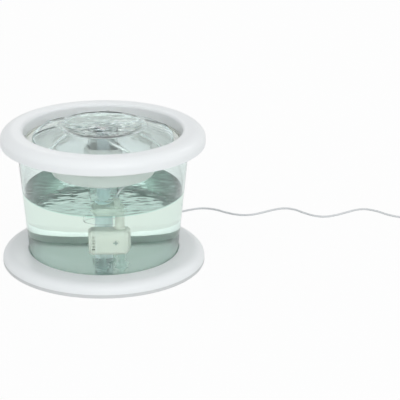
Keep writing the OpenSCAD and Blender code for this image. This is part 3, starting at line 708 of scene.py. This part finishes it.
def makeCollarRing():
    wall = collar["wall"]
    seat = collar["seatZ"]
    bore = collar["bore"]
    section = collarSkin(0) + [(bore, seat), (bore - collar["ledge"], seat)]
    section += [(bore - collar["ledge"], seat - wall), (bore + wall, seat - wall)]
    section += collarSkin(wall)[::-1]
    piece = turned(section + section[:1])
    softenEdges(piece, collar["soften"])
    middle = wall / 2
    rib = plate(collarSkin(middle) + [(bore + middle, collar["ribZ"]),
                                      (collarHigh[0] - middle, collar["ribZ"])],
                collar["ribThick"])
    ribs = ringOf(rib, collar["ribs"], 180 / collar["ribs"])
    return finishPiece(joined(piece, ribs), "collarRing", "white", "collar", "white_plastic",
                       "collar_ring")


tray = {"flange": 2, "upstand": 3.7, "drum": 58, "wall": 1.8, "ledge": 3, "ledgeThick": 1,
        "chamfer": 1, "soften": 0.3}


def makeFilterTray():
    wall = tray["wall"]
    drum = tray["drum"]
    radius = trayHigh[0]
    top = trayHigh[2] - tray["upstand"]
    low = trayLow[2]
    seat = low + tray["ledgeThick"]
    ledge = drum - wall - tray["ledge"]
    under = top - tray["flange"]
    section = [(radius, under), (radius, trayHigh[2]), (radius - wall, trayHigh[2])]
    section += [(radius - wall, top), (drum - wall, top), (drum - wall, seat), (ledge, seat)]
    section += [(ledge, low), (drum - tray["chamfer"], low), (drum, low + tray["chamfer"])]
    section += [(drum, under)]
    piece = turned(section + section[:1])
    softenEdges(piece, tray["soften"])
    return finishPiece(piece, "filterTray", "frosted", "tray", "clear_plastic", "filter_tray")


grille = {"bore": 19.2, "wall": 1.8, "thick": 1.4, "slots": 16, "slotWide": 3, "slotIn": 25,
          "slotOut": 52.2, "soften": 0.25}
cutPast = 1     # how far a cutting block runs past what it cuts


# The drum's slotted floor with the tube round the stem
def makeDrumGrille():
    radius = grilleHigh[0]
    low = grilleLow[2]
    top = grilleHigh[2]
    floor = low + grille["thick"]
    bore = grille["bore"]
    wall = grille["wall"]
    section = [(bore, low), (radius, low), (radius, floor), (bore + wall, floor)]
    section += [(bore + wall, top - wall), (bore + wall / 2, top), (bore, top)]
    piece = turned(section + section[:1])
    wide = grille["slotWide"] / 2
    slot = block((grille["slotIn"], -wide, low - cutPast),
                 (grille["slotOut"], wide, floor + cutPast))
    combine(piece, ringOf(slot, grille["slots"], 0))
    softenEdges(piece, grille["soften"])
    return finishPiece(piece, "drumGrille", "frosted", "tray", "clear_plastic", "drum_grille")


pads = {"inner": 21.5, "round": 1.6, "lump": 0.35, "lumpsPerMetre": 90, "fill": 0.9}


def makePad(name, finish, slot, node, low, high):
    inner = pads["inner"]
    outer = high[0]
    rounding = pads["round"]
    section = arc(outer - rounding, low[2] + rounding, rounding, rounding, -90, 0, 4)
    section += arc(outer - rounding, high[2] - rounding, rounding, rounding, 0, 90, 4)
    section += arc(inner + rounding, high[2] - rounding, rounding, rounding, 90, 180, 4)
    section += arc(inner + rounding, low[2] + rounding, rounding, rounding, 180, 270, 4)
    piece = turned(section + section[:1], 128)
    middle = (low[2] + high[2]) / 2 * mm
    reach = (high[2] - low[2]) / 2 * mm
    for vertex in piece.data.vertices:
        lump = abs(noise.noise(vertex.co * pads["lumpsPerMetre"])) * pads["lump"] * mm
        vertex.co.z -= lump * (vertex.co.z - middle) / reach
    finishPiece(piece, name, finish, "filter", slot, node)
    return piece


dome = {
    "wall": 2,
    "skirt": 78.5,
    "side": 5.6,            # height of its straight side
    "lean": 1,
    "shoulderHigh": 13,
    "shoulderWide": 10.5,
    "shoulderPull": 0.75,   # where in its height the shoulder bends most
    "high": 20.6,
    "roof": (11, 3.8),      # where the roof bends most, out from the dish and down from the top
    "brow": 3,              # half width of the rim round the dish
    "browOut": 0.9,
    "browRise": 0.9,
    "browIn": 1.1,
    "dish": 46,
    "dishDeep": 5.6,
    "dishSlope": 12,
    "spout": 7.8,
    "spoutWall": 2,
    "boss": 6,
    "notches": 8,
    "notchWide": 9,
    "notchHigh": 2.4,
    "soften": 0.25,
}
dome["top"] = domeLow[2] + dome["high"]
dome["floor"] = dome["top"] - dome["dishDeep"]


# The dome's outer skin from its skirt to the middle of its dish, sunk by a depth
def domeSkin(depth):
    low = domeLow[2]
    skirt = dome["skirt"]
    dish = dome["dish"]
    top = dome["top"] - depth
    brow = dome["brow"]
    floor = dome["floor"] - depth
    shoulder = (skirt - dome["shoulderWide"], low + dome["shoulderHigh"] - depth)
    pull = (skirt - dome["lean"] - depth,
            low + dome["shoulderPull"] * dome["shoulderHigh"] - depth)
    out, down = dome["roof"]
    outer = (dish + brow, top - dome["browOut"])
    inner = (dish - brow, top - dome["browIn"])
    points = [(skirt - depth, low)]
    points += bow((skirt - depth, low + dome["side"]), pull, shoulder, 12)
    points += bow(shoulder, (dish + out, top - down), outer, 8)[1:]
    points += bow(outer, (dish, top + dome["browRise"]), inner, 10)[1:]
    points += bow(inner, (dish - dome["dishSlope"], floor), (stemHigh[0] + brow, floor), 14)[1:]
    return points


def makeDome():
    wall = dome["wall"]
    floor = dome["floor"]
    under = floor - wall
    spout = dome["spout"]
    spoutLow = under - dome["boss"]
    section = domeSkin(0) + [(spout, floor), (spout, spoutLow)]
    section += [(spout + dome["spoutWall"], spoutLow), (spout + dome["spoutWall"], under)]
    section += domeSkin(wall)[::-1]
    piece = turned(section + section[:1])
    wide = dome["notchWide"] / 2
    notch = block((dome["skirt"] - 3 * wall, -wide, domeLow[2] - cutPast),
                  (dome["skirt"] + 2 * wall, wide, domeLow[2] + dome["notchHigh"]))
    combine(piece, ringOf(notch, dome["notches"], 180 / dome["notches"]))
    softenEdges(piece, dome["soften"])
    return finishPiece(piece, "dome", "dome", "dome", "clear_plastic", "dome")


stem = {"bore": 15.2, "soften": 0.3}
water = {
    "level": 86,
    "inset": 0.8,       # how far it reaches into the tank's wall, so that no air lies between
    "seed": 7,          # which waves there are
}


# The stem's wet end has its own finish, because it bends light less in water
def makeStem():
    radius = stemHigh[0]
    bore = stem["bore"]
    low, high = stemLow[2], stemHigh[2]
    level = water["level"]
    section = [(radius, low), (radius, level), (radius, high)]
    section += [(bore, high), (bore, level), (bore, low)]
    piece = turned(section + section[:1], 128)
    softenEdges(piece, stem["soften"])
    dressTwice(piece, "dryStem", "wetStem", lambda x, y, z: z < level)
    return finishPiece(piece, "stem", None, "dome", "clear_plastic", "stem")


# Height of the small waves on a water surface, which run along X: large ones carry finer ones
def ripple(x, y, size, reach, stretch=1.0):
    place = Vector((x / reach / stretch, y / reach, water["seed"]))
    return size * (noise.noise(place) + 0.4 * noise.noise(place * 2.1)
                   + 0.12 * noise.noise(place * 4.6))


tankWaves = {
    "rings": 90,
    "high": 0.6,
    "front": (8, -50),      # where the pump stirs the water most
    "frontHigh": 0.8,
    "frontSpread": 1200,
    "reach": 5.5,
    "stretch": 2.2,
    "calm": 3,              # width of the smooth water along the wall
}


def makeTankWater():
    inset = water["inset"]
    level = water["level"]
    corner = tank["corner"]
    inner = tank["foot"] - tank["wall"] - corner
    edge = tankRadius(level) - tank["wall"] + inset
    rings = tankWaves["rings"]
    px, py = tankWaves["front"]
    section = [(0, tank["floorTop"] - inset)]
    section += arc(inner, tank["floorTop"] + corner, corner + inset, corner + inset, -90, 0, 8)
    section += [(edge * (1 - i / rings), level) for i in range(rings + 1)]
    piece = turned(section, 240, angle=80)
    for vertex in piece.data.vertices:
        x, y, z = vertex.co / mm
        if z > level - 0.01:
            calm = min(1, (edge - math.hypot(x, y)) / tankWaves["calm"])
            near = math.exp(-((x - px) ** 2 + (y - py) ** 2) / tankWaves["frontSpread"])
            chop = tankWaves["high"] + tankWaves["frontHigh"] * near
            vertex.co.z += ripple(x, y, chop, tankWaves["reach"], tankWaves["stretch"]) * calm * mm
    return finishPiece(piece, "tankWater", "water", "root", None)


# The same line with a point at least every step
def fineLine(points, step):
    fine = [points[0]]
    for (r0, z0), (r1, z1) in zip(points, points[1:]):
        count = max(1, math.ceil(math.hypot(r1 - r0, z1 - z0) / step))
        fine += [(r0 + (r1 - r0) * i / count, z0 + (z1 - z0) * i / count)
                 for i in range(1, count + 1)]
    return fine


# Each runs down the film through places in radius and angle
rivulets = {
    "high": 1.4,
    "wide": 1.7,
    "start": 4,     # length over which one rises out of the film
    "lines": [
        [(50, -141), (58, -139.5), (66, -138.5), (76, -137)],
        [(49, -84), (56, -79), (63.5, -73), (71.6, -66.8), (77, -64)],
        [(50, -36), (60, -33), (77, -34)],
        [(50, 24), (62, 20), (77, 22)],
        [(49, 83), (60, 87), (77, 84)],
        [(50, 147), (63, 151), (77, 149)],
        [(50, 186), (62, 183), (77, 185)],
    ],
}


def rivuletLift(x, y):
    r = math.hypot(x, y)
    lift = 0.0
    for line in rivulets["lines"]:
        for (r0, turn0), (r1, turn1) in zip(line, line[1:]):
            if r0 <= r < r1:
                aim = turn0 + (turn1 - turn0) * (r - r0) / (r1 - r0)
                away = (math.degrees(math.atan2(y, x)) - aim + 180) % 360 - 180
                beside = math.radians(away) * r
                fade = min(1, (r - line[0][0]) / rivulets["start"])
                across = math.exp(-(beside / rivulets["wide"]) ** 2)
                lift = max(lift, fade * rivulets["high"] * across)
    return lift


domeWater = {
    "film": 0.4,
    "sunk": 0.35,           # how far it reaches into the dome, so that no air lies between
    "start": 0.5,           # height of its lower edge over the notches
    "fullness": 0.12,       # how far the dish is filled
    "step": 0.9,
    "spring": (1.7, 8),     # height and width of the water that wells up
    "rings": (0.16, 1.9, 26),   # height, spacing and reach of the rings round it
    "chop": (1.2, 8, 2),
    "skirtFree": 0.5,
    "streak": (0.2, 9, 26),     # depth, number and length of the film's streaks
    "grain": (0.1, 5),
    "brim": (3, 8),         # where the dish's waves end, and over what width
}


# Water that wells up in the dish and runs over the rim as a film
def makeDomeWater():
    film = domeWater["film"]
    sunk = domeWater["sunk"]
    start = domeLow[2] + dome["notchHigh"] + domeWater["start"]
    crest = dome["dish"]
    outside = [(r, z) for r, z in domeSkin(-film) if r > crest]
    level = outside[-1][1] + 0.1
    outside = [(outside[0][0], start)] + outside[1:]
    outside += [(r, z + (level - z) * domeWater["fullness"])
                for r, z in domeSkin(-film) if r < crest - 1]
    outside += [(0, outside[-1][1])]
    under = domeSkin(sunk)
    under = [(under[0][0], start)] + under[1:] + [(0, dome["floor"] - sunk)]
    line = fineLine(outside, domeWater["step"]) + under[::-1] + [outside[0]]
    piece = turned(line, 320, angle=80)
    spring, springWide = domeWater["spring"]
    ring, spacing, ringReach = domeWater["rings"]
    streakDeep, streaks, streakLong = domeWater["streak"]
    brim, brimWide = domeWater["brim"]
    normals = [vertex.normal.copy() for vertex in piece.data.vertices]
    for vertex, normal in zip(piece.data.vertices, normals):
        x, y, z = vertex.co / mm
        r = math.hypot(x, y)
        upward = normal.z + (normal.x * x + normal.y * y) / max(r, 1)
        if upward > 0.3 and r < dome["skirt"] - domeWater["skirtFree"]:
            swell = spring * math.exp(-(r / springWide) ** 2)
            swell += ring * math.cos(r / spacing) * math.exp(-(r / ringReach) ** 2)
            dish = min(1, max(0, (crest + brim - r) / brimWide))
            streak = 0
            if r > 1:
                streak = noise.noise(Vector((x / r * streaks, y / r * streaks, r / streakLong)))
            lift = dish * (swell + ripple(x, y, *domeWater["chop"]))
            lift += (1 - dish) * (streakDeep * streak + ripple(x, y, *domeWater["grain"]))
            lift += rivuletLift(x, y)
            vertex.co += normal * max(lift, -film * 0.8) * mm
    return finishPiece(piece, "domeWater", "water", "dome", None)


troughWater = {
    "sunk": 0.3,        # how far it reaches into the tray
    "deep": 1.9,
    "gap": 0.6,         # between it and the dome's skirt
    "creep": 0.2,       # how far it climbs at its edges
    "step": 0.9,
    "waves": (0.25, 6),
}


# A shallow ring of water in the trough
def makeTroughWater():
    sunk = troughWater["sunk"]
    gap = troughWater["gap"]
    low = trayHigh[2] - tray["upstand"] - sunk
    level = low + troughWater["deep"]
    creep = level + troughWater["creep"]
    inner = dome["skirt"] + gap
    outer = trayHigh[0] - tray["wall"] + sunk
    top = fineLine([(outer, creep), (outer - 1, level), (inner + gap, level), (inner, creep)],
                   troughWater["step"])
    piece = turned([(inner, low), (outer, low)] + top + [(inner, low)], 200, angle=80)
    for vertex in piece.data.vertices:
        x, y, z = vertex.co / mm
        if z > low + 1:
            vertex.co.z += ripple(x, y, *troughWater["waves"]) * mm
    return finishPiece(piece, "troughWater", "water", "tray", None)


feet = {"count": 6, "ring": 79.43, "radius": 5.5, "high": 3.6, "round": 1, "hollow": (2, 0.2)}


def makeFeet():
    radius = feet["radius"]
    high = feet["high"]
    rounding = feet["round"]
    hollow, hollowDeep = feet["hollow"]
    section = [(0, hollowDeep), (hollow, 0), (radius - rounding - 0.4, 0)]
    section += arc(radius - rounding, rounding, rounding, rounding, -90, 0, 4)
    section += [(radius, high), (0, high)]
    foot = turned(section, 40, feet["ring"])
    return finishPiece(ringOf(foot, feet["count"], 0), "baseFeet", "rubber", "root", "rubber",
                       "base_feet")


dial = {"thick": 2, "pin": 1.5, "rim": 0.7, "floor": 0.42, "recess": 0.7, "barWide": 1.5,
        "barLong": 4.6, "barRound": 0.2, "round": 0.4}


# A cream knob with a raised rim and a dark cross for a screwdriver
def makeDial():
    low, high = nodeSize("flow_dial")
    radius = (high[0] - low[0]) / 2
    deep = dial["thick"]
    back = deep - (high[1] - low[1])
    rim = dial["rim"]
    rounding = dial["round"]
    barRound = dial["barRound"]
    floor = deep - dial["floor"]
    section = [(0, back), (dial["pin"], back), (dial["pin"], 0), (radius, 0)]
    section += arc(radius - rounding, deep - rounding, rounding, rounding, 0, 90, 4)
    section += arc(radius - rim, deep - rounding, rounding / 2, rounding, 90, 180, 4)
    section += [(radius - rim - rounding / 2, floor), (0, floor)]
    knob = turned(section, 72)
    long = dial["barLong"] / 2
    wide = dial["barWide"] / 2
    for reachX, reachY in ((long, wide), (wide, long)):
        combine(knob, block((-reachX, -reachY, floor - dial["recess"]),
                            (reachX, reachY, deep + cutPast), barRound, 2))
    dressTwice(knob, "cream", "grey",
               lambda x, y, z: max(abs(x), abs(y)) < long and min(abs(x), abs(y)) < wide
               and barRound < z < floor - 0.02)
    knob.rotation_euler = (math.radians(90), 0, 0)
    knob.location = ((low[0] + high[0]) / 2 * mm, (low[1] + deep) * mm, (low[2] + high[2]) / 2 * mm)
    return finishPiece(knob, "flowDial", None, "dial", "grey_plastic", "flow_dial")


def makePumpFittings():
    for node, finish in {
        "pump_housing": "cream", "end_cap": "cream", "volute_cover": "cream", "intake_cover": "cream",
        "stator_core": "core", "stator_coils": "wire", "volute_seal": "rubber", "impeller": "blue",
        "rotor_magnet": "magnet", "rotor_shaft": "ceramic", "shaft_bushes": "rubber",
        "suction_cups": "paleRubber", "lead_boot": "cream", "standpipe": "pipe",
    }.items():
        dress(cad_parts[node], finish)


studio = {
    "floorReach": 8,
    "floorSeen": 0.95,
    "floorThrough": 0.8,
    "floorGlossy": 0.5,
    "floorPaint": (0.82, 0.83, 0.83),
    "sky": [(0.0, (0.9, 0.9, 0.9)), (0.5, (1.0, 0.99, 0.96)),
            (0.68, (0.7, 0.71, 0.72)), (1.0, (0.95, 0.95, 0.95))],
    "bounced": (0.84, 0.85, 0.865),     # colour of the sky's light on solid surfaces
    "lamps": [("softLamp", (0.6, -1.6, 1.9), 1.2, 6.5), ("rimLamp", (1.3, 0.9, 1.2), 0.3, 1.5),
              ("backLamp", (-0.3, 2.2, 1.35), 0.35, 1.5)],
    "lampAim": (0, 0, 0.1),
    "level": 0.85,      # sky light on solid surfaces
    "frontal": 0.5,     # how much more of it comes from the front
    "rightward": 0.05,
    "inner": 2.9,       # extra sky light on what lies behind clear plastic
    "behind": 1.03,     # backdrop as it shows through clear plastic
    "sideFall": 0.12,   # how much darker that backdrop is at the sides
    "sideFrom": 0.35,   # where it starts to darken
    "sideTo": 0.85,
}


def makeFloor():
    clearSelection()
    bpy.ops.mesh.primitive_plane_add(size=studio["floorReach"], location=(0, 0, 0))
    floor = bpy.context.object
    floor.name = "floor"
    finish, start, place = startFinish("floor")
    seen = start.node("ShaderNodeLightPath", out="Is Camera Ray")
    glossy = start.node("ShaderNodeLightPath", out="Is Glossy Ray")
    through = start.node("ShaderNodeLightPath", out="Is Transmission Ray")
    glow = start.node("ShaderNodeEmission", None, {"Color": (1, 1, 1, 1), "Strength": 1.0})
    paint = start.node("ShaderNodeBsdfDiffuse", None, {"Color": (*studio["floorPaint"], 1)})
    share = seen * studio["floorSeen"] + glossy * studio["floorGlossy"]
    share = share + through * studio["floorThrough"]
    mixed = start.node("ShaderNodeMixShader", None, {0: share, 1: paint, 2: glow})
    start.node("ShaderNodeOutputMaterial", None, {"Surface": mixed})
    floor.data.materials.append(finish)


def makeLight():
    world = bpy.data.worlds.new("studio")
    scene.world = world
    world.use_nodes = True
    world.node_tree.nodes.clear()
    start = Wire(world.node_tree)
    towards = start.node("ShaderNodeTexCoord", out="Generated")
    side = start.node("ShaderNodeSeparateXYZ", None, {0: towards}, out="X")
    depth = start.node("ShaderNodeSeparateXYZ", None, {0: towards}, out="Y")
    height = start.node("ShaderNodeSeparateXYZ", None, {0: towards}, out="Z")
    sky = start.node("ShaderNodeValToRGB", {"stops": studio["sky"]}, {0: height * 0.5 + 0.5})
    seen = start.node("ShaderNodeLightPath", out="Is Camera Ray")
    colour = start.node("ShaderNodeMix", {"data_type": "RGBA"},
                        {0: seen, 6: sky, 7: (1, 1, 1, 1)}, out=2)
    bounces = start.node("ShaderNodeLightPath", out="Diffuse Depth")
    bounced = start.sum("MINIMUM", bounces, 1)
    passes = start.node("ShaderNodeLightPath", out="Transmission Depth")
    cleared = start.sum("MINIMUM", passes, 1)
    sideways = start.sum("ABSOLUTE", side, 0)
    dim = start.node("ShaderNodeMapRange", None,
                     {"Value": sideways, "From Min": studio["sideFrom"],
                      "From Max": studio["sideTo"]})
    shining = (studio["level"] - depth * studio["frontal"] + side * studio["rightward"])
    shining = shining * (1 + cleared * studio["inner"])
    backdrop = 1 + cleared * (studio["behind"] - 1 - dim * studio["sideFall"])
    strength = bounced * shining + (1 - bounced) * backdrop
    plain = start.node("ShaderNodeMix", {"data_type": "RGBA"},
                       {0: bounced, 6: colour, 7: (*studio["bounced"], 1)}, out=2)
    background = start.node("ShaderNodeBackground", None, {"Color": plain, "Strength": strength})
    start.node("ShaderNodeOutputWorld", None, {"Surface": background})
    for name, place, size, power in studio["lamps"]:
        bpy.ops.object.light_add(type="AREA", location=place)
        lamp = bpy.context.object
        lamp.name = name
        lamp.data.energy = power
        lamp.data.size = size
        lamp.visible_transmission = False
        aim = Vector(studio["lampAim"]) - Vector(place)
        lamp.rotation_euler = aim.to_track_quat("-Z", "Y").to_euler()


makeBaseRing()
makeFeet()
makeTank()
print("base and tank made")
makeCollarRing()
makeFilterTray()
makeDrumGrille()
makePad("foamPad", "foam", "foam", "foam_pad", foamLow, foamHigh)
makePad("carbonPad", "fleece", "filter_fleece", "carbon_pad", carbonLow, carbonHigh)
print("collar, tray and pads made")
makeDome()
makeStem()
makeTankWater()
makeDomeWater()
makeTroughWater()
print("dome, stem and water made")
makePumpFittings()
makeDial()
print("pump dressed")
makeFloor()
makeLight()
print("studio lit")
